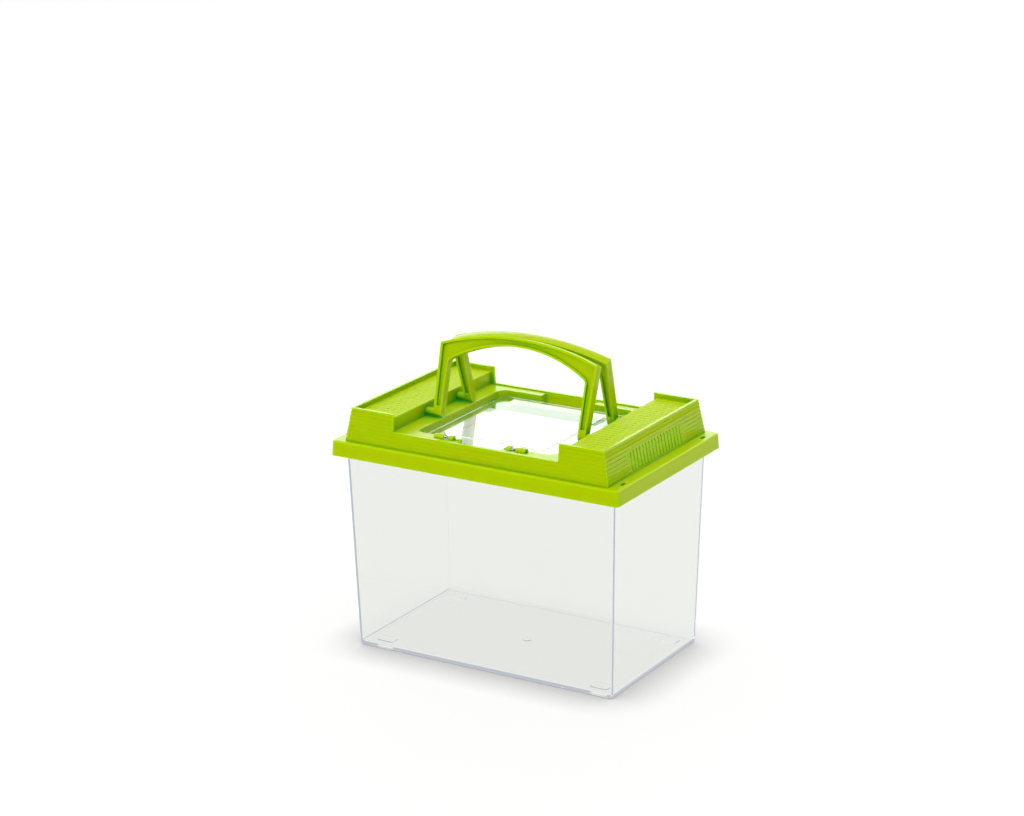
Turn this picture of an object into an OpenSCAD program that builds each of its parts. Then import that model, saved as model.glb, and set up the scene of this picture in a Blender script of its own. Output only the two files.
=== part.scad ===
// Small plastic pet keeper: clear tank, vented green lid, clear flap and two folding carry handles.
// Millimetres, +Z up, origin at the middle of the tank's underside, front of the keeper towards -Y.

/* [Tank] */
// Outer length of the tank body at its top edge
tank_length = 217.7; // [205:0.1:300]
// Outer width of the tank body at its top edge
tank_width = 133.1; // [125:0.1:200]
// Height of the tank, from its underside to the top of its rim
tank_height = 154.5; // [110:0.5:230]
// Taper of each tank side over the whole height
tank_taper = 4.4; // [1:0.1:8]
// Thickness of the tank walls
tank_wall = 1.8; // [1.2:0.1:2.6]
// Thickness of the tank floor
tank_floor = 2.2; // [1.5:0.1:4]
// Radius of the tank's upright corners
tank_corner_r = 2; // [1.5:0.1:10]
// Radius of the edge round the underside
foot_edge_r = 1.2; // [0.6:0.1:2]
// How far the rim reaches out at the two ends
rim_end_reach = 4.3; // [3.5:0.1:6]
// How far the rim reaches out at the front and back
rim_side_reach = 5.5; // [5.2:0.1:7]
// Thickness of the rim
rim_thickness = 1.8; // [1.2:0.1:3]
// Length of each raised pad on the tank floor
pad_length = 14; // [8:1:20]
// Width of each raised pad on the tank floor
pad_width = 9; // [5:1:12]
// Height of each raised pad on the tank floor
pad_height = 0.6; // [0.3:0.1:1.5]

/* [Lid skirt] */
// Height of the skirt below the seat on the tank rim
skirt_drop = 9.1; // [6:0.1:14]
// Thickness of the skirt
skirt_wall = 1.8; // [1.3:0.1:2.6]
// Outward flare of the skirt from its top edge to its lower edge
skirt_flare = 0.5; // [0.2:0.1:2]
// Radius of the skirt's corners
skirt_corner_r = 2.5; // [2:0.1:6]
// Thickness of the ledge that sits on the tank rim
ledge_thickness = 2; // [1.4:0.1:3]
// Radius of the rounded edge between the skirt and the ledge
ledge_edge_r = 1.2; // [0.6:0.1:1.6]
// Width of the ledge at the two ends
ledge_end = 9.5; // [7:0.1:13]
// Width of the ledge at the front and back
ledge_side = 4; // [3.5:0.1:4.8]
// Length of each small slot through the end ledges
ledge_slot_length = 6; // [3:0.5:10]
// Width of each small slot through the end ledges
ledge_slot_width = 2.6; // [1.5:0.1:3.5]
// Distance of each small slot from the front or back face of the lid body
ledge_slot_inset = 12; // [8:0.5:20]

/* [Lid body] */
// Height of the raised end boxes above the ledge
box_rise = 24.5; // [20:0.5:40]
// Taper of each end box's outer end over its height
box_end_taper = 4.6; // [2:0.1:8]
// Taper of the front and back faces over the box height
box_side_taper = 2.5; // [1:0.1:4]
// Number of fine ribs up the outer faces
rib_count = 9; // [6:1:12]
// Wall thickness of the raised lid body
lid_wall = 1.6; // [1.2:0.1:2.2]
// Depth of the vented panels below the tops of the box walls
panel_depth = 3.8; // [2:0.1:5]
// Half the distance between the facing inner walls of the end boxes
middle_half = 69.35; // [66:0.05:75]
// How far the front and back box walls run inwards past the inner walls
wall_end_reach = 2.65; // [1:0.05:4]
// Height of the deck between the end boxes above the ledge
deck_rise = 11; // [9:0.1:14]
// Height of the raised lip along the front and back of the deck
deck_lip = 0.9; // [0.4:0.1:2]
// Width of the raised lip along the front and back of the deck
deck_lip_width = 2; // [1.5:0.1:3]

/* [Vents] */
// Width of each vent slot in the top panels
top_slot_width = 0.6; // [0.5:0.1:1.4]
// Spacing of the vent slots in the top panels
top_slot_pitch = 4.5; // [3.5:0.1:7]
// Plain margin between the vent slots and the inner edge and ends of the top panels
top_slot_margin = 2.4; // [1.6:0.1:5]
// Plain margin between the vent slots and the outer walls of the end boxes
top_slot_outer_margin = 0.8; // [0.5:0.1:5]
// Length and width of the small square hole in the middle of each vent slot
top_slot_eye = 1.4; // [1:0.1:2.4]
// Half the length of the vented plate in each end face
end_vent_half = 41.5; // [25:0.5:50]
// Height of the vent slots in the end faces
end_vent_height = 14; // [8:0.5:16]
// Height of the end vent slots above the ledge
end_vent_base = 1.6; // [1.2:0.1:4]
// Width of each vent slot in the end faces
end_slot_width = 1.3; // [0.8:0.1:1.8]
// Spacing of the vent slots in the end faces
end_slot_pitch = 4.4; // [3:0.1:6]

/* [Window] */
// Plain deck between the window and each end box
window_end_strip = 13.85; // [12:0.05:17]
// Plain deck in front of the window
window_front_strip = 10.4; // [9.5:0.1:14]
// Plain deck behind the window
window_back_strip = 7.9; // [6:0.1:14]
// Radius of the window's corners
window_corner_r = 6; // [3:0.5:12]
// Depth of the collar round the window, from the deck's top
collar_depth = 11; // [9:0.1:11]
// Half the length of the finger notch in the window's back edge
back_notch_half = 22; // [12:0.5:28]
// Half the length of the notch in the window's front edge
front_notch_half = 17.6; // [10:0.1:18]
// Plain deck left behind the notches
notch_margin = 1.2; // [0.6:0.1:4]

/* [Flap] */
// Depth of the flap's border below the deck
flap_drop = 4.5; // [3:0.1:5.5]
// Gap between the flap and the window's ends
flap_end_gap = 2; // [0.5:0.1:3]
// Gap between the flap and the window's back edge
flap_back_gap = 1; // [0.5:0.1:2]
// Gap between the flap and the window's front edge
flap_front_gap = 1.6; // [1.2:0.1:2.5]
// Thickness of the flap
flap_thickness = 1.6; // [1.2:0.1:2.2]
// Width of the border at the two ends of the flap's raised middle
flap_end_border = 15.2; // [8:0.1:20]
// Width of the border at the flap's front edge
flap_front_border = 15.2; // [8:0.1:20]
// Width of the border at the flap's back edge
flap_back_border = 10; // [6:0.1:20]
// Height of the raised middle above the border at its front edge
flap_raise_front = 0.6; // [0.4:0.1:1.2]
// Height of the raised middle above the border at its back edge
flap_raise_back = 2.2; // [1.2:0.1:2.6]
// Distance of the hinge axis in front of the window's front edge
hinge_ahead = 4; // [2.6:0.1:4.5]
// Height of the hinge axis above the deck
hinge_rise = 0; // [-0.4:0.1:1]
// Distance of the middle of each hinge from the middle of the flap
hinge_offset = 27; // [24.5:0.5:34]
// Length of each flap knuckle
knuckle_length = 4; // [3:0.1:8]
// Radius of each flap knuckle
knuckle_r = 2; // [1.8:0.1:2.3]
// Radius of the hinge pins
hinge_pin_r = 1.2; // [0.8:0.05:1.3]
// Radius of the rounded lugs that carry the hinge pins
lug_r = 2.7; // [2.4:0.1:3.2]
// Length of each inner lug
inner_lug_length = 3; // [2:0.1:4.2]
// Length of each outer lug
outer_lug_length = 7.5; // [3:0.1:9]

/* [Handles] */
// Height of the handle pivots above the deck
pivot_rise = 3.5; // [3.3:0.1:6]
// Distance of each handle's pivot axis from the middle of the lid
pivot_offset = 21; // [16:0.5:26]
// Length of each handle from its pivots to the top of its arch
handle_length = 60.7; // [56:0.1:80]
// Width of each leg at its foot
leg_width = 6.2; // [5:0.1:7]
// How far each leg's outer edge spreads from its foot to the corner
leg_spread = 1.5; // [0:0.1:2]
// Rise of the top edge from the corners to the middle
arch_rise = 10.7; // [6:0.1:16]
// Rise of the inner edge from the corners to the middle
inner_arch_rise = 16; // [10:0.1:20]
// Depth of the arch at its middle
arch_depth = 6.4; // [5:0.1:9]
// Radius of the inner corners
inner_corner_r = 4; // [2:0.5:6]
// Depth of the handle's outer flange at the top, front to back
flange_depth = 7.3; // [6.4:0.1:9]
// Thickness of the outer flange
flange_thickness = 1.8; // [1.4:0.1:2.6]
// Thickness of the flange round the inside of the arch
inner_flange_thickness = 1.4; // [1:0.1:2.2]
// Depth of the flange round the inside of the arch
inner_flange_depth = 6; // [4:0.1:6.8]
// Thickness of the web between the flanges
web_thickness = 2.2; // [1.6:0.1:3]
// Radius of each foot's hub
hub_r = 3; // [2.8:0.1:3.1]
// Radius of the pivot pins
pivot_pin_r = 2; // [1.5:0.05:2.2]

/* [Fits] */
// Gap between the tank rim and the inside of the skirt
rim_gap = 0.6; // [0.4:0.1:1.2]
// Gap between the lid and the rim that it sits on
seat_gap = 0.05; // [0.02:0.01:0.2]
// Radial clearance of the pivot and hinge pins in their bores
pin_clearance = 0.06; // [0.03:0.01:0.1]
// Gap between moving faces that pass each other
side_gap = 0.3; // [0.2:0.05:0.5]
// Gap between the tops of the two handles where they meet
handle_gap = 0.3; // [0.2:0.05:1]

/* [Hidden] */
$fn = 64;
clear_plastic = [0.86, 0.90, 0.89, 0.35];
green_plastic = [0.64, 0.77, 0.05];
overcut = 1;
hull_fn = 32;
thin_slice = 0.01;
half_round = 1 - cos(45);

// Tank
tank_foot_length = tank_length - 2 * tank_taper;
tank_foot_width = tank_width - 2 * tank_taper;
rim_length = tank_length + 2 * rim_end_reach;
rim_width = tank_width + 2 * rim_side_reach;
rim_corner_r = tank_corner_r + rim_end_reach;
pad_inset = 7;
pad_corner_r = 2;
mark_r = 3;
least_inner_r = 0.6;

// Lid levels
seat_z = tank_height + seat_gap;
skirt_base_z = seat_z - skirt_drop;
ledge_z = seat_z + ledge_thickness;
deck_z = ledge_z + deck_rise;
lip_z = deck_z + deck_lip;
box_top_z = ledge_z + box_rise;
panel_z = box_top_z - panel_depth;
collar_z = deck_z - collar_depth;

// Lid outlines
skirt_slope = skirt_flare / (skirt_drop + ledge_thickness);
skirt_top_length = rim_length + 2 * (rim_gap + skirt_wall) - 2 * skirt_slope * ledge_thickness;
skirt_top_width = rim_width + 2 * (rim_gap + skirt_wall) - 2 * skirt_slope * ledge_thickness;
body_length = skirt_top_length - 2 * ledge_end;
body_width = skirt_top_width - 2 * ledge_side;
rib_height = box_rise / rib_count;
rib_end_step = box_end_taper / rib_count;
rib_side_step = box_side_taper / rib_count;
slab_lap = 0.5;
body_top_length = body_length - 2 * box_end_taper;
body_top_width = body_width - 2 * box_side_taper;
deck_half_width = body_top_width / 2 - deck_lip_width / 2;
ledge_slot_x = body_length / 2 + ledge_end / 2;
ledge_slot_y = body_width / 2 - ledge_slot_inset;

// Vents
panel_inner_x = middle_half;
panel_outer_x = body_top_length / 2 - lid_wall;
panel_half_width = body_top_width / 2 - lid_wall;
top_slot_low_x = panel_inner_x + top_slot_margin;
top_slot_high_x = panel_outer_x - top_slot_outer_margin;
top_eye_x = (panel_inner_x + panel_outer_x) / 2;
top_slot_count = floor((2 * panel_half_width - 2 * top_slot_margin) / top_slot_pitch);
end_slot_count = floor((2 * end_vent_half - 2 * top_slot_margin) / end_slot_pitch);
end_lean = atan(box_end_taper / box_rise);
end_plate_proud = 0.15;

// Window and flap
window_half = middle_half - window_end_strip;
window_front_y = -(deck_half_width - window_front_strip);
window_back_y = deck_half_width - window_back_strip;
notch_back_y = deck_half_width - notch_margin;
notch_front_y = -(deck_half_width - notch_margin);
flap_half = window_half - flap_end_gap;
flap_front_y = window_front_y + flap_front_gap;
flap_back_y = window_back_y - flap_back_gap;
flap_top_z = deck_z - flap_drop;
flap_base_z = flap_top_z - flap_thickness;
hinge_y = window_front_y - hinge_ahead;
hinge_z = deck_z + hinge_rise;
knuckle_gap = 0.2;
nub_length = 6;
nub_lap = 1.5;
nub_thickness = 1.4;
nub_back = 10;

// Handles
pivot_z = deck_z + pivot_rise;
foot_inner = window_half + side_gap;
foot_outer = foot_inner + leg_width;
corner_half = foot_outer + leg_spread;
corner_height = handle_length - arch_rise;
outer_arch_r = (corner_half * corner_half + arch_rise * arch_rise) / (2 * arch_rise);
outer_arch_middle = handle_length - outer_arch_r;
inner_top = handle_length - arch_depth;
inner_arch_r = (foot_inner * foot_inner + inner_arch_rise * inner_arch_rise) / (2 * inner_arch_rise);
inner_arch_middle = inner_top - inner_arch_r;
top_reach = sqrt(handle_length * handle_length + flange_depth * flange_depth / 4);
raised_lean = asin((pivot_offset - handle_gap / 2) / top_reach) - atan(flange_depth / 2 / handle_length);
foot_margin = 0.1;
foot_flange_half = hub_r + foot_margin;
foot_web_half = web_thickness / 2 + 2 * foot_margin;
foot_solid_height = 5;
leg_cut = 4 * hub_r;
hub_end = middle_half - side_gap;
pin_inset = 0.15;
pin_end = middle_half + lid_wall - pin_inset;
view_size = 2 * (handle_length + corner_half);

// Flat rectangle with rounded corners, centred, made of true arcs
module rounded_rectangle(length, width, r) {
    square([length - 2 * r, width], center = true);
    square([length, width - 2 * r], center = true);
    for (x = [-1, 1], y = [-1, 1]) {
        translate([x * (length / 2 - r), y * (width / 2 - r)]) circle(r = r);
    }
}

// Thin rounded slice at a height, for the tapered shells
module slice(length, width, r, z) {
    translate([0, 0, z]) linear_extrude(thin_slice) rounded_rectangle(length, width, r, $fn = hull_fn);
}

// Box that spans from one corner to another
module span(low, high) {
    translate(low) cube(high - low);
}

// The same box on both ends of the lid, given for the +X end
module both_ends(low, high) {
    for (side = [0, 1]) mirror([side, 0, 0]) span(low, high);
}

// Solid of the tank body between two heights, drawn in by an inset
module tank_solid(inset, base_z, top_z, edge_r) {
    r = max(tank_corner_r - inset, least_inner_r);
    base_grow = 2 * tank_taper * base_z / tank_height - 2 * inset;
    top_grow = 2 * tank_taper * top_z / tank_height - 2 * inset;
    base_length = tank_foot_length + base_grow;
    base_width = tank_foot_width + base_grow;
    hull() {
        slice(base_length - 2 * edge_r, base_width - 2 * edge_r, r, base_z);
        slice(base_length, base_width, r, base_z + edge_r);
        slice(tank_foot_length + top_grow, tank_foot_width + top_grow, r, top_z - thin_slice);
    }
}

// Clear open tank with a rim round its top
module tank() {
    pad_x = tank_foot_length / 2 - tank_wall - pad_inset - pad_length / 2;
    pad_y = tank_foot_width / 2 - tank_wall - pad_inset - pad_width / 2;
    color(clear_plastic) {
        difference() {
            union() {
                tank_solid(0, 0, tank_height, foot_edge_r);
                translate([0, 0, tank_height - rim_thickness]) {
                    linear_extrude(rim_thickness) rounded_rectangle(rim_length, rim_width, rim_corner_r);
                }
            }
            tank_solid(tank_wall, tank_floor, tank_height + overcut, foot_edge_r);
        }
        for (x = [-1, 1], y = [-1, 1]) {
            translate([x * pad_x, y * pad_y, tank_floor - overcut]) {
                linear_extrude(overcut + pad_height) rounded_rectangle(pad_length, pad_width, pad_corner_r);
            }
        }
        translate([0, 0, tank_floor - overcut]) cylinder(r = mark_r, h = overcut + pad_height);
    }
}

// Outer form of the skirt and ledge, drawn in by an inset
module skirt_solid(inset, top_z, edge_r) {
    r = max(skirt_corner_r - inset, least_inner_r);
    top_in = 2 * inset + 2 * edge_r;
    mid_in = 2 * inset + 2 * half_round * edge_r;
    low_out = 2 * skirt_flare - 2 * inset;
    hull() {
        slice(skirt_top_length + low_out, skirt_top_width + low_out, r, skirt_base_z);
        slice(skirt_top_length - 2 * inset, skirt_top_width - 2 * inset, r, top_z - edge_r);
        slice(skirt_top_length - mid_in, skirt_top_width - mid_in, r, top_z - half_round * edge_r);
        slice(skirt_top_length - top_in, skirt_top_width - top_in, r, top_z - thin_slice);
    }
}

// Ribbed body above the ledge, as a stack of slabs that step in, drawn in by an inset
module ribbed_body(inset) {
    for (k = [0:rib_count - 1]) {
        length = body_length - 2 * k * rib_end_step - 2 * inset;
        width = body_width - 2 * k * rib_side_step - 2 * inset;
        low = k == 0 ? seat_z - overcut : ledge_z + (k - slab_lap) * rib_height;
        translate([-length / 2, -width / 2, low]) {
            cube([length, width, ledge_z + (k + 1) * rib_height - low]);
        }
    }
}

// What stays open under the end boxes and the deck
module body_hollow() {
    difference() {
        ribbed_body(lid_wall);
        span([-middle_half - lid_wall, -tank_width, deck_z - lid_wall],
            [middle_half + lid_wall, tank_width, box_top_z + overcut]);
        span([-tank_length, -tank_width, panel_z - lid_wall],
            [tank_length, tank_width, box_top_z + overcut]);
    }
}

// What is cut away above the deck and the vented panels
module body_top_cuts() {
    wall_end = middle_half - wall_end_reach;
    top = box_top_z + overcut;
    span([-wall_end, -tank_width, lip_z], [wall_end, tank_width, top]);
    span([-middle_half, -deck_half_width, deck_z], [middle_half, deck_half_width, top]);
    both_ends([wall_end, -panel_half_width, panel_z], [panel_outer_x, panel_half_width, top]);
    both_ends([wall_end - overcut, -panel_half_width, deck_z], [middle_half, panel_half_width, top]);
}

// Flat outline of the window, with a finger notch behind and a notch in front, drawn out by a margin
module window_outline(margin) {
    middle_y = (window_back_y + window_front_y) / 2;
    depth = window_back_y - window_front_y;
    translate([0, middle_y]) {
        rounded_rectangle(
            2 * (window_half + margin), depth + 2 * margin, window_corner_r + margin);
    }
    translate([-back_notch_half - margin, 0]) {
        square([2 * (back_notch_half + margin), notch_back_y + margin]);
    }
    translate([-front_notch_half - margin, notch_front_y - margin]) {
        square([2 * (front_notch_half + margin), margin - notch_front_y]);
    }
}

// Row of fine slots across each top panel, each with a small square hole in its middle
module top_vents() {
    first = -(top_slot_count - 1) * top_slot_pitch / 2;
    low = panel_z - lid_wall - overcut;
    high = panel_z + overcut;
    slot = top_slot_width / 2;
    eye = top_slot_eye / 2;
    for (side = [0, 1]) mirror([side, 0, 0]) {
        for (k = [0:top_slot_count - 1]) {
            y = first + k * top_slot_pitch;
            span([top_slot_low_x, y - slot, low], [top_slot_high_x, y + slot, high]);
            span([top_eye_x - eye, y - eye, low], [top_eye_x + eye, y + eye, high]);
        }
    }
}

// Leaning frame on the outer face of each end box, with its origin at the foot of the face
module on_end_faces() {
    for (side = [0, 1]) mirror([side, 0, 0]) {
        translate([body_length / 2, 0, ledge_z]) rotate([0, -end_lean, 0]) children();
    }
}

// Smooth plate that carries the vent slots of each end face
module end_plates() {
    on_end_faces() {
        span([-lid_wall, -end_vent_half, 0],
            [end_plate_proud, end_vent_half, end_vent_height + 2 * end_vent_base]);
    }
}

// Row of fine upright slots through each end face
module end_vents() {
    first = -(end_slot_count - 1) * end_slot_pitch / 2;
    on_end_faces() {
        for (k = [0:end_slot_count - 1]) {
            y = first + k * end_slot_pitch - end_slot_width / 2;
            span([-2 * lid_wall, y, end_vent_base],
                [overcut, y + end_slot_width, end_vent_base + end_vent_height]);
        }
    }
}

// Small slots near the corners of the end ledges
module ledge_slots() {
    for (x = [-1, 1], y = [-1, 1]) {
        translate([x * ledge_slot_x, y * ledge_slot_y, seat_z - overcut]) {
            linear_extrude(ledge_thickness + 2 * overcut) {
                square([ledge_slot_width, ledge_slot_length], center = true);
            }
        }
    }
}

// Cylinder along X between two places, on an axis given by y and z
module round_bar(r, x_low, x_high, y, z) {
    translate([x_low, y, z]) rotate([0, 90, 0]) cylinder(r = r, h = x_high - x_low);
}

// Rounded lug on the deck that carries one end of a hinge pin
module hinge_lug(x_low, x_high) {
    round_bar(lug_r, x_low, x_high, hinge_y, hinge_z);
    span([x_low, hinge_y - lug_r, deck_z - lid_wall], [x_high, hinge_y + lug_r, hinge_z]);
}

// Both lugs of the hinge on the +X side
module hinge_lugs() {
    inner_face = hinge_offset - knuckle_length / 2 - knuckle_gap;
    outer_face = hinge_offset + knuckle_length / 2 + knuckle_gap;
    hinge_lug(inner_face - inner_lug_length, inner_face);
    hinge_lug(outer_face, outer_face + outer_lug_length);
}

// Room for the flap's knuckle in the deck, on the +X side
module knuckle_pocket() {
    span([hinge_offset - knuckle_length / 2 - knuckle_gap, hinge_y - knuckle_r - side_gap, collar_z - overcut],
        [hinge_offset + knuckle_length / 2 + knuckle_gap, window_front_y + overcut, lip_z + 2 * lug_r]);
}

// Small nubs inside the window that carry the flap's back corners
module flap_nubs() {
    y = window_back_y - nub_back;
    top = flap_base_z - side_gap;
    both_ends([flap_half - nub_lap, y - nub_length, top - nub_thickness], [window_half + lid_wall / 2, y, top]);
}

// Green lid: skirt, ledge, ribbed end boxes, vents, deck, window and hinge lugs
module lid() {
    color(green_plastic) {
        difference() {
            union() {
                difference() {
                    union() {
                        difference() {
                            skirt_solid(0, ledge_z, ledge_edge_r);
                            translate([0, 0, -thin_slice]) skirt_solid(skirt_wall, seat_z, 0);
                        }
                        difference() {
                            ribbed_body(0);
                            span([-tank_length, -tank_width, seat_z - 2 * overcut],
                                [tank_length, tank_width, seat_z]);
                        }
                        end_plates();
                    }
                    body_hollow();
                    body_top_cuts();
                }
                translate([0, 0, collar_z]) linear_extrude(collar_depth - lid_wall / 2) window_outline(lid_wall);
                for (side = [0, 1]) mirror([side, 0, 0]) hinge_lugs();
            }
            translate([0, 0, collar_z - overcut]) {
                linear_extrude(collar_depth + 2 * overcut) window_outline(0);
            }
            for (side = [0, 1]) mirror([side, 0, 0]) {
                knuckle_pocket();
                round_bar(hinge_pin_r + pin_clearance, front_notch_half - overcut,
                    hinge_offset + knuckle_length / 2 + outer_lug_length + overcut, hinge_y, hinge_z);
            }
            for (side = [0, 1], y = [-1, 1]) mirror([side, 0, 0]) {
                round_bar(pivot_pin_r + pin_clearance, middle_half - overcut, middle_half + lid_wall + overcut,
                    y * pivot_offset, pivot_z);
            }
            top_vents();
            end_vents();
            ledge_slots();
        }
        flap_nubs();
    }
}

// Wedge that rises gently towards the back, given by its low corner, its high corner and its rise
module wedge(low, high, rise) {
    translate([low[0], 0, 0]) rotate([90, 0, 90]) linear_extrude(high[0] - low[0]) {
        polygon([[low[1], low[2]], [high[1], low[2]], [high[1], high[2] + rise], [low[1], high[2]]]);
    }
}

// Arm of the flap that leads down from a hinge knuckle to the border, on the +X side
module flap_arm(low, high) {
    back_y = flap_front_y + flap_thickness;
    span([low, hinge_y, hinge_z - flap_thickness / 2], [high, back_y, hinge_z + flap_thickness / 2]);
    span([low, flap_front_y, flap_base_z], [high, back_y, hinge_z]);
}

// Clear flap that closes the window, with two knuckles and their pins
module flap() {
    middle_half_length = flap_half - flap_end_border;
    middle_front = flap_front_y + flap_front_border;
    middle_back = flap_back_y - flap_back_border;
    rise = flap_raise_back - flap_raise_front;
    corner_r = window_corner_r - flap_back_gap;
    pin_reach = min(inner_lug_length, outer_lug_length) - side_gap;
    color(clear_plastic) {
        difference() {
            union() {
                translate([0, (flap_front_y + flap_back_y) / 2, flap_base_z]) {
                    linear_extrude(flap_thickness) {
                        rounded_rectangle(2 * flap_half, flap_back_y - flap_front_y, corner_r);
                    }
                }
                wedge([-middle_half_length, middle_front, flap_top_z - flap_thickness / 2],
                    [middle_half_length, middle_back, flap_top_z + flap_raise_front], rise);
            }
            wedge([flap_thickness - middle_half_length, middle_front + flap_thickness, flap_base_z - overcut],
                [middle_half_length - flap_thickness, middle_back - flap_thickness,
                    flap_base_z + flap_raise_front], rise);
        }
        for (side = [0, 1]) mirror([side, 0, 0]) {
            low = hinge_offset - knuckle_length / 2;
            high = hinge_offset + knuckle_length / 2;
            round_bar(knuckle_r, low, high, hinge_y, hinge_z);
            flap_arm(low, high);
            round_bar(hinge_pin_r, low - pin_reach, high + pin_reach, hinge_y, hinge_z);
        }
    }
}

// Front view of the handle's outside with its pivots at height 0, drawn in by an inset
module handle_outside(inset) {
    spread = leg_spread / corner_height;
    reach = 2 * arch_rise;
    foot = foot_outer - inset;
    head = foot + spread * (handle_length + reach);
    intersection() {
        polygon([[-foot, 0], [foot, 0], [head, handle_length + reach], [-head, handle_length + reach]]);
        translate([0, outer_arch_middle]) circle(r = outer_arch_r - inset, $fn = 256);
    }
}

// Front view of the space under the arch, drawn out by a margin
module handle_inside(margin) {
    r = inner_corner_r + margin;
    half = foot_inner + margin;
    arch_r = inner_arch_r + margin;
    corner_x = foot_inner - inner_corner_r;
    arm = inner_arch_r - inner_corner_r;
    corner_middle = inner_arch_middle + sqrt(arm * arm - corner_x * corner_x);
    touch_x = corner_x * inner_arch_r / arm;
    translate([-half, -leg_cut]) square([2 * half, corner_middle + leg_cut]);
    for (side = [-1, 1]) translate([side * corner_x, corner_middle]) circle(r = r);
    intersection() {
        translate([0, inner_arch_middle]) circle(r = arch_r, $fn = 256);
        translate([-touch_x, corner_middle - overcut]) square([2 * touch_x, view_size]);
    }
}

// Side view of a handle part, which is a little deeper at the top than at the foot
module handle_side(foot_half, top_half) {
    top = handle_length + overcut;
    polygon([[-foot_half, 0], [-top_half, top], [top_half, top], [foot_half, 0]]);
}

// Solid that has one outline from the front and another from the side
module from_two_views() {
    intersection() {
        rotate([90, 0, 0]) linear_extrude(view_size, center = true) children(0);
        rotate([90, 0, 90]) linear_extrude(view_size, center = true) children(1);
    }
}

// One leg's foot: solid block, hub and pivot pin, on the +X side
module handle_foot() {
    intersection() {
        span([foot_inner, -view_size, -hub_r], [foot_outer + leg_spread, view_size, foot_solid_height]);
        from_two_views() {
            handle_outside(0);
            handle_side(foot_flange_half, flange_depth / 2);
        }
    }
    round_bar(hub_r, foot_inner, hub_end, 0, 0);
    round_bar(pivot_pin_r, hub_end - overcut, pin_end, 0, 0);
}

// Flat carry handle that stands on its pivots: an arch on two legs, with flanges along its edges
module upright_handle() {
    from_two_views() {
        difference() {
            handle_outside(0);
            handle_outside(flange_thickness);
        }
        handle_side(foot_flange_half, flange_depth / 2);
    }
    from_two_views() {
        difference() {
            handle_outside(flange_thickness / 2);
            handle_inside(inner_flange_thickness / 2);
        }
        handle_side(foot_web_half, web_thickness / 2);
    }
    from_two_views() {
        difference() {
            intersection() {
                handle_outside(0);
                handle_inside(inner_flange_thickness);
            }
            handle_inside(0);
        }
        handle_side(foot_flange_half, inner_flange_depth / 2);
    }
    for (side = [0, 1]) mirror([side, 0, 0]) handle_foot();
}

// Handle in front, leaning back on its pivots until its top meets the other one
module raised_handle() {
    translate([0, -pivot_offset, pivot_z]) rotate([-raised_lean, 0, 0]) upright_handle();
}

module front_handle() {
    color(green_plastic) raised_handle();
}

module back_handle() {
    color(green_plastic) mirror([0, 1, 0]) raised_handle();
}

tank();
lid();
flap();
front_handle();
back_handle();
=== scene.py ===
"""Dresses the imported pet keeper: clear tank and flap, lime green lid and handles, on a plain white floor."""
import math

import bpy
from mathutils import Matrix, Vector

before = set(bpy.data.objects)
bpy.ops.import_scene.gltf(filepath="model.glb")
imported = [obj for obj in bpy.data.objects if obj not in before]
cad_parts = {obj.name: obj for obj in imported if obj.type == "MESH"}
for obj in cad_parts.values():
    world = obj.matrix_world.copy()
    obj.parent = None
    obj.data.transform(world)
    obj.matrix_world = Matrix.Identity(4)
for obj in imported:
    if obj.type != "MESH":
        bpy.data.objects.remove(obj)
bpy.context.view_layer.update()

MM = 0.001

# Camera, fitted to the photograph's perspective
CAMERA_AT = Vector((0.99050, -1.65104, 0.77794))
CAMERA_AZIMUTH = math.radians(31.2434)
CAMERA_ELEVATION = math.radians(17.3172)
CAMERA_ROLL = math.radians(-0.646)
CAMERA_LENS = 100.516
CAMERA_SENSOR = 36.0
CAMERA_NEAR = 0.05
CAMERA_FAR = 50

# Light levels, where 1 is the level at which a white surface shows as white
SKY_LEVEL = 0.72
FILL_LEVEL = 0.60
BACK_CARD_LEVEL = 1.5

# Fill light: the side that it comes from, and the angle over which it is spread
FILL_FROM = (0.15, -1.1, 1.7)
FILL_SPREAD = math.radians(40)

# Bright card behind the object: its distance, how high it stands, its size, and where it points
BACK_CARD_DISTANCE = 2.5
BACK_CARD_RISE = math.radians(24)
BACK_CARD_WIDTH = 3.0
BACK_CARD_HEIGHT = 1.3
BACK_CARD_AIM = (0, 0, 0.15)

# Floor: its size, how far it lies under the tank, and its colour
FLOOR_SIZE = 30
FLOOR_DROP = 0.3 * MM
FLOOR_COLOUR = 0.80

# Share of plain white in what the camera sees of the floor, and in what mirror and see-through rays see
FLOOR_GLOW = 0.25
FLOOR_GLOW_IN_GLASS = 0.9

# How far from the object the contact shadow painted into the floor's colour reaches
CONTACT_REACH = 36 * MM

# Green plastic: its colour in the open, and in corners with painted shade, as both show on a screen
LIME = (168, 190, 0)
PAINTED_SHADE_LIME = (45, 155, 30)

# How far a corner's painted shade reaches, and the openness at which it starts and is complete
SHADE_REACH = 14 * MM
SHADE_STARTS = 0.75
SHADE_COMPLETE = 0.25

# Rays with which each point looks for corners close by, for painted shade and painted shadow
CORNER_RAYS = 4

# Gloss of the green plastic: its roughness, and what the fine grain of the panels adds to it
GREEN_ROUGHNESS = 0.25
PANEL_ROUGHNESS = 0.35

# The vented panels on top of the end boxes: their levels, their inner edge, and how open they count at least
PANEL_LOW = 176.2 * MM
PANEL_HIGH = 178.2 * MM
PANEL_INNER_X = 67 * MM
# The least openness keeps the painted shade in the panels' slots faint
PANEL_OPENNESS = 0.8

# Faint unevenness of the moulded green surfaces
GRAIN_SCALE = 900
GRAIN_DETAIL = 3
GRAIN_STRENGTH = 0.05
GRAIN_DEPTH = 0.2 * MM

# Clear plastic: its tint, and the share of the lamps' light that passes straight through each face
CLEAR_TINT = (0.91, 0.92, 0.90, 1)
OPEN_SHARE = 0.95
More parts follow.
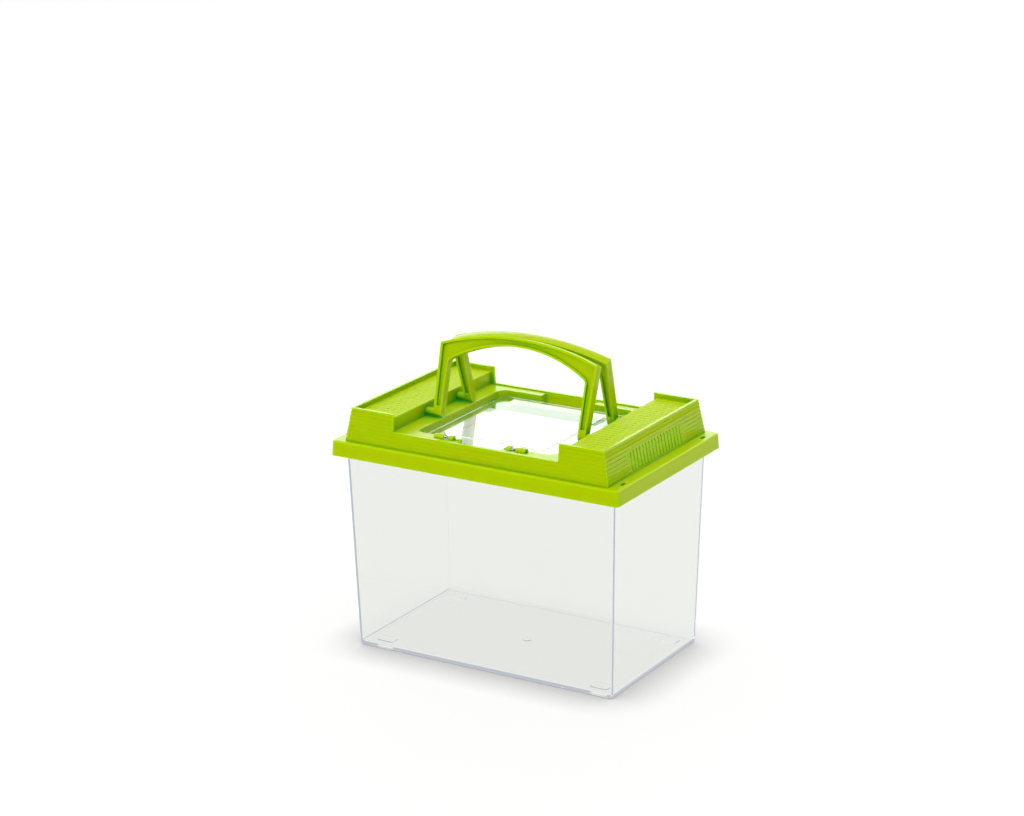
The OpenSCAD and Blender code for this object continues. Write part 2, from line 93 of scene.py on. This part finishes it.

# Painted glow in the edges of clear plastic, for light that would reach the eye after many mirrorings or bends
TANK_EDGE_PAINTED_GLOW = (0.16, 0.178, 0.20, 1)
FLAP_EDGE_PAINTED_GLOW = (0.36, 0.40, 0.34, 1)
MANY_MIRRORINGS = 2.5
MANY_BENDS = 8.5

# Weight of the gloss coat on the tank and on the flap
TANK_COAT = 0.0
FLAP_COAT = 0.5

# Rounding of the edges
LID_EDGE = 0.35 * MM
OTHER_EDGE = 0.3 * MM
EDGE_SEGMENTS = 2
EDGE_ANGLE = math.radians(35)
WELD_DISTANCE = 0.01 * MM


def add_camera():
    """Camera at the photograph's place and angle."""
    a, e, r = CAMERA_AZIMUTH, CAMERA_ELEVATION, CAMERA_ROLL
    back = Vector((math.sin(a) * math.cos(e), -math.cos(a) * math.cos(e), math.sin(e)))
    right = Vector((math.cos(a), math.sin(a), 0))
    up = back.cross(right)
    turned_right = right * math.cos(r) + up * math.sin(r)
    turned_up = up * math.cos(r) - right * math.sin(r)
    data = bpy.data.cameras.new("camera")
    data.lens = CAMERA_LENS
    data.sensor_width = CAMERA_SENSOR
    data.clip_start = CAMERA_NEAR
    data.clip_end = CAMERA_FAR
    camera = bpy.data.objects.new("camera", data)
    bpy.context.scene.collection.objects.link(camera)
    turn = Matrix((turned_right, turned_up, back)).transposed()
    camera.matrix_world = Matrix.Translation(CAMERA_AT) @ turn.to_4x4()
    bpy.context.scene.camera = camera


class Nodes:
    """Small helper that adds and links the nodes of one material or of the world."""

    def __init__(self, block):
        block.use_nodes = True
        self.tree = block.node_tree
        self.shader = self.tree.nodes.get("Principled BSDF")

    def add(self, kind, **settings):
        """New node with its settings."""
        node = self.tree.nodes.new(kind)
        for key, value in settings.items():
            setattr(node, key, value)
        return node

    def link(self, out_socket, in_socket):
        """Link between two sockets."""
        self.tree.links.new(out_socket, in_socket)

    def set(self, **values):
        """Plain values on the main shader's own sockets, with _ for each space in a socket's name."""
        for key, value in values.items():
            self.shader.inputs[key.replace("_", " ")].default_value = value

    def math(self, operation, *values):
        """Result of a math node whose inputs are sockets or numbers."""
        node = self.add("ShaderNodeMath", operation=operation)
        for socket, value in zip(node.inputs, values):
            if isinstance(value, bpy.types.NodeSocket):
                self.link(value, socket)
            else:
                socket.default_value = value
        return node.outputs[0]

    def place(self):
        """Socket with the point's place in the object's own space."""
        return self.add("ShaderNodeTexCoord").outputs["Object"]

    def openness(self, reach, colour):
        """Node that is darker where other surfaces stand close by, for painted shade and painted shadow."""
        corners = self.add("ShaderNodeAmbientOcclusion", samples=CORNER_RAYS)
        corners.inputs["Color"].default_value = colour
        corners.inputs["Distance"].default_value = reach
        return corners

    def grain(self):
        """Faint bumps on the main shader."""
        noise = self.add("ShaderNodeTexNoise")
        noise.inputs["Scale"].default_value = GRAIN_SCALE
        noise.inputs["Detail"].default_value = GRAIN_DETAIL
        self.link(self.place(), noise.inputs["Vector"])
        bump = self.add("ShaderNodeBump")
        bump.inputs["Strength"].default_value = GRAIN_STRENGTH
        bump.inputs["Distance"].default_value = GRAIN_DEPTH
        self.link(noise.outputs["Fac"], bump.inputs["Height"])
        self.link(bump.outputs["Normal"], self.shader.inputs["Normal"])

    def first_sight(self, camera_share, glass_share):
        """Socket with a share for camera rays, another for mirror and see-through rays, 0 for the rest."""
        path = self.add("ShaderNodeLightPath")
        glass = self.math("MAXIMUM", path.outputs["Is Glossy Ray"], path.outputs["Is Transmission Ray"])
        before_any_bounce = self.math("LESS_THAN", path.outputs["Diffuse Depth"], 0.5)
        in_glass = self.math("MULTIPLY", self.math("MULTIPLY", glass, glass_share), before_any_bounce)
        return self.math("MULTIPLY_ADD", path.outputs["Is Camera Ray"], camera_share, in_glass)


def new_material(name):
    """New material with its node helper."""
    material = bpy.data.materials.new(name)
    return material, Nodes(material)


def linear(r, g, b):
    """Linear colour from the 0 to 255 values of a screen colour, by the sRGB formula."""
    def channel(v):
        v /= 255
        return v / 12.92 if v <= 0.04045 else ((v + 0.055) / 1.055) ** 2.4
    return (channel(r), channel(g), channel(b), 1)


def panel_mask(n):
    """Socket that is 1 on the vented panels on top of the end boxes, and 0 elsewhere."""
    split = n.add("ShaderNodeSeparateXYZ")
    n.link(n.place(), split.inputs["Vector"])
    over = n.math("GREATER_THAN", split.outputs["Z"], PANEL_LOW)
    under = n.math("LESS_THAN", split.outputs["Z"], PANEL_HIGH)
    far_out = n.math("GREATER_THAN", n.math("ABSOLUTE", split.outputs["X"]), PANEL_INNER_X)
    return n.math("MULTIPLY", n.math("MULTIPLY", over, under), far_out)


def paint_corner_shade(n, least_open):
    """Base colour with painted shade: the deeper green of translucent plastic in corners and recesses."""
    corners = n.openness(SHADE_REACH, (1, 1, 1, 1))
    ramp = n.add("ShaderNodeMapRange")
    ramp.inputs["From Min"].default_value = SHADE_COMPLETE
    ramp.inputs["From Max"].default_value = SHADE_STARTS
    n.link(corners.outputs["AO"], ramp.inputs["Value"])
    # Painted shade: the colour turns to the deeper green where other surfaces stand close by
    blend = n.add("ShaderNodeMix", data_type="RGBA")
    share, shaded, in_the_open = blend.inputs[0], blend.inputs[6], blend.inputs[7]
    shaded.default_value = linear(*PAINTED_SHADE_LIME)
    in_the_open.default_value = linear(*LIME)
    n.link(n.math("MAXIMUM", ramp.outputs["Result"], least_open), share)
    colour_with_painted_shade = blend.outputs[2]
    n.link(colour_with_painted_shade, n.shader.inputs["Base Color"])


def green_plastic(name, with_panels):
    """Moulded lime green plastic that lets a little light wander under it, with painted shade in corners."""
    material, n = new_material(name)
    n.set(Roughness=GREEN_ROUGHNESS, IOR=1.45, Specular_IOR_Level=0.38, Specular_Tint=(0.7, 0.8, 0.0, 1))
    n.set(Subsurface_Weight=1.0, Subsurface_Radius=(0.2, 1.0, 0.1), Subsurface_Scale=3.0 * MM)
    if with_panels:
        panels = panel_mask(n)
        roughness = n.math("MULTIPLY_ADD", panels, PANEL_ROUGHNESS, GREEN_ROUGHNESS)
        n.link(roughness, n.shader.inputs["Roughness"])
        paint_corner_shade(n, n.math("MULTIPLY", panels, PANEL_OPENNESS))
    else:
        paint_corner_shade(n, 0.0)
    n.grain()
    return material


def clear_plastic(name, coat, edge_painted_glow):
    """Clear polished plastic that lets the lamps' light straight through, so that its shadow stays pale, with
    painted glow in its edges.
    """
    material, n = new_material(name)
    n.set(Base_Color=CLEAR_TINT, Roughness=0.02, IOR=1.45, Transmission_Weight=1.0)
    n.set(Coat_Weight=coat, Coat_Roughness=0.15, Coat_IOR=1.5, Emission_Color=edge_painted_glow)
    path = n.add("ShaderNodeLightPath")
    light_ray = n.math("MAXIMUM", path.outputs["Is Shadow Ray"], path.outputs["Is Diffuse Ray"])
    shown = n.math("SUBTRACT", 1.0, n.math("MULTIPLY", light_ray, OPEN_SHARE))
    n.link(shown, n.shader.inputs["Alpha"])
    # Painted glow: the edges shine with their own light where a ray has been mirrored or bent many times
    mirrored_often = n.math("GREATER_THAN", path.outputs["Glossy Depth"], MANY_MIRRORINGS)
    bent_often = n.math("GREATER_THAN", path.outputs["Ray Depth"], MANY_BENDS)
    n.link(n.math("MAXIMUM", mirrored_often, bent_often), n.shader.inputs["Emission Strength"])
    return material


def dress(node, material, edge):
    """Gives a CAD node its material and finely rounded edges."""
    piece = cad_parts[node]
    piece.data.materials.clear()
    piece.data.materials.append(material)
    weld = piece.modifiers.new("weld", "WELD")
    weld.merge_threshold = WELD_DISTANCE
    round_edges = piece.modifiers.new("round_edges", "BEVEL")
    round_edges.width = edge
    round_edges.segments = EDGE_SEGMENTS
    round_edges.limit_method = "ANGLE"
    round_edges.angle_limit = EDGE_ANGLE
    round_edges.harden_normals = True


def add_floor():
    """Plain white floor that keeps the object's shadow, with a contact shadow painted into its colour."""
    bpy.ops.mesh.primitive_plane_add(size=FLOOR_SIZE, location=(0, 0, -FLOOR_DROP))
    floor = bpy.context.object
    floor.name = "floor"
    material, n = new_material("floor")
    n.set(Roughness=1.0, Specular_IOR_Level=0.0)
    # Painted shadow: the floor's colour darkens where the object stands close by
    painted_contact_shadow = n.openness(CONTACT_REACH, (FLOOR_COLOUR, FLOOR_COLOUR, FLOOR_COLOUR, 1))
    n.link(painted_contact_shadow.outputs["Color"], n.shader.inputs["Base Color"])
    plain_white = n.add("ShaderNodeEmission")
    mix = n.add("ShaderNodeMixShader")
    share, real_floor, glow = mix.inputs
    n.link(n.first_sight(FLOOR_GLOW, FLOOR_GLOW_IN_GLASS), share)
    n.link(n.shader.outputs["BSDF"], real_floor)
    n.link(plain_white.outputs["Emission"], glow)
    n.link(mix.outputs["Shader"], n.tree.nodes["Material Output"].inputs["Surface"])
    floor.data.materials.append(material)


def add_world():
    """White surroundings for what is seen, and a softer level for the light that they cast."""
    world = bpy.data.worlds.new("surroundings")
    bpy.context.scene.world = world
    n = Nodes(world)
    background = n.tree.nodes["Background"]
    background.inputs["Color"].default_value = (1, 1, 1, 1)
    level = n.math("MULTIPLY_ADD", n.first_sight(1.0, 1.0), 1.0 - SKY_LEVEL, SKY_LEVEL)
    n.link(level, background.inputs["Strength"])


def add_light(name, kind, at, target):
    """Light that points from a place to a target, and that shows neither to the camera nor through glass."""
    data = bpy.data.lights.new(name, kind)
    light = bpy.data.objects.new(name, data)
    bpy.context.scene.collection.objects.link(light)
    light.location = at
    light.rotation_mode = "QUATERNION"
    light.rotation_quaternion = (Vector(target) - Vector(at)).to_track_quat("-Z", "Y")
    light.visible_camera = False
    light.visible_transmission = False
    return data


def add_fill():
    """Soft light from the front and above. It casts no shadow, so that the shadow is that of an even sky."""
    fill = add_light("fill", "SUN", FILL_FROM, (0, 0, 0))
    fill.energy = FILL_LEVEL * math.pi
    fill.angle = FILL_SPREAD
    fill.use_shadow = False


def add_back_card():
    """Bright soft box behind the object, which the deck and the flap mirror towards the camera."""
    away = Vector((-math.sin(CAMERA_AZIMUTH), math.cos(CAMERA_AZIMUTH), 0)) * BACK_CARD_DISTANCE
    centre = away + Vector((0, 0, BACK_CARD_DISTANCE * math.tan(BACK_CARD_RISE)))
    card = add_light("back_card", "AREA", centre, BACK_CARD_AIM)
    card.shape = "RECTANGLE"
    card.size = BACK_CARD_WIDTH
    card.size_y = BACK_CARD_HEIGHT
    card.energy = BACK_CARD_LEVEL * math.pi * BACK_CARD_WIDTH * BACK_CARD_HEIGHT


add_camera()
add_floor()
add_world()
add_fill()
add_back_card()
handle_green = green_plastic("handle_green", False)
dress("lid", green_plastic("lid_green", True), LID_EDGE)
dress("front_handle", handle_green, OTHER_EDGE)
dress("back_handle", handle_green, OTHER_EDGE)
dress("tank", clear_plastic("clear_tank", TANK_COAT, TANK_EDGE_PAINTED_GLOW), OTHER_EDGE)
dress("flap", clear_plastic("clear_flap", FLAP_COAT, FLAP_EDGE_PAINTED_GLOW), OTHER_EDGE)
bpy.context.scene.view_settings.view_transform = "Standard"
